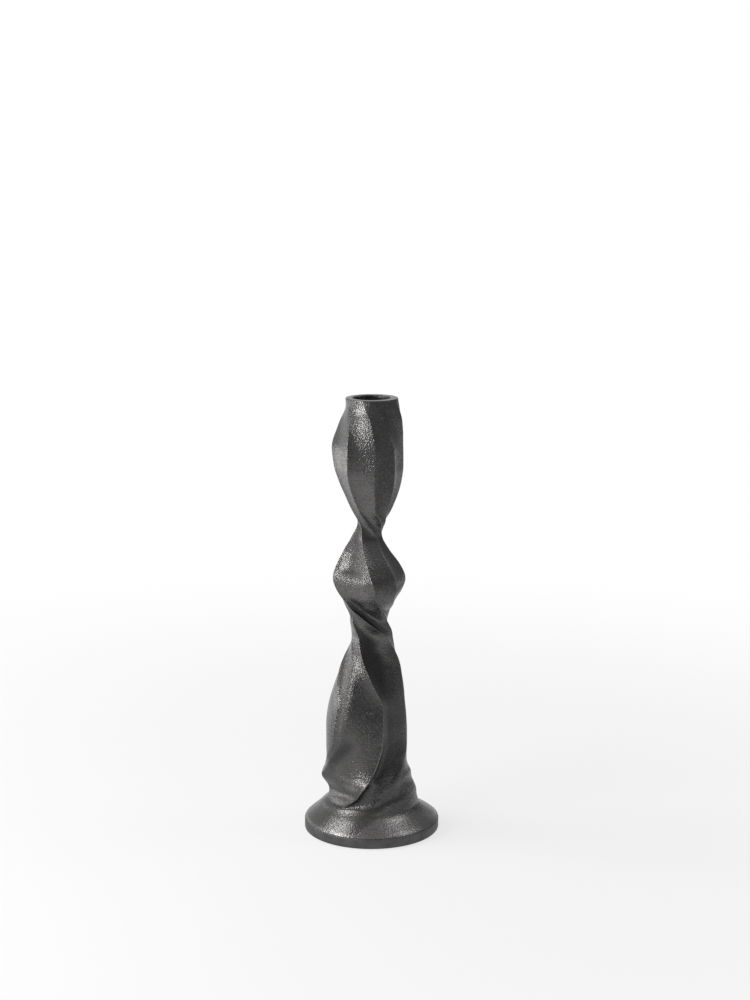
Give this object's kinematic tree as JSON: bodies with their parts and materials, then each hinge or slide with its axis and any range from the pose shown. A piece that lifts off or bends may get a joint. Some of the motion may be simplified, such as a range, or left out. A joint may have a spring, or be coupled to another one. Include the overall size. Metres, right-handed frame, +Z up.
{
  "type": "candle holder",
  "caption": "Twisted, fluted candle holder: a cast column draped over a domed round foot, pinched at its necks and bored at the top for a taper candle.",
  "frame": {"origin": "on the table, under the middle of the round foot", "axes": "+Z up along the axis of the candle socket, -Y towards the side that the picture shows, +X to that side's right"},
  "size_m": [0.084, 0.084, 0.272],
  "materials": {
    "cast_aluminium": "blackened sand casting, satin, with brighter rubbed ridges",
    "turned_aluminium": "turned and blackened, satin",
    "screw_steel": "zinc plated",
    "felt": "black wool felt"
  },
  "bodies": {
    "root": {"twisted_casting": "cast_aluminium", "foot_plate": "turned_aluminium", "foot_screws": "screw_steel", "felt_pad": "felt"}
  },
  "joints": []
}
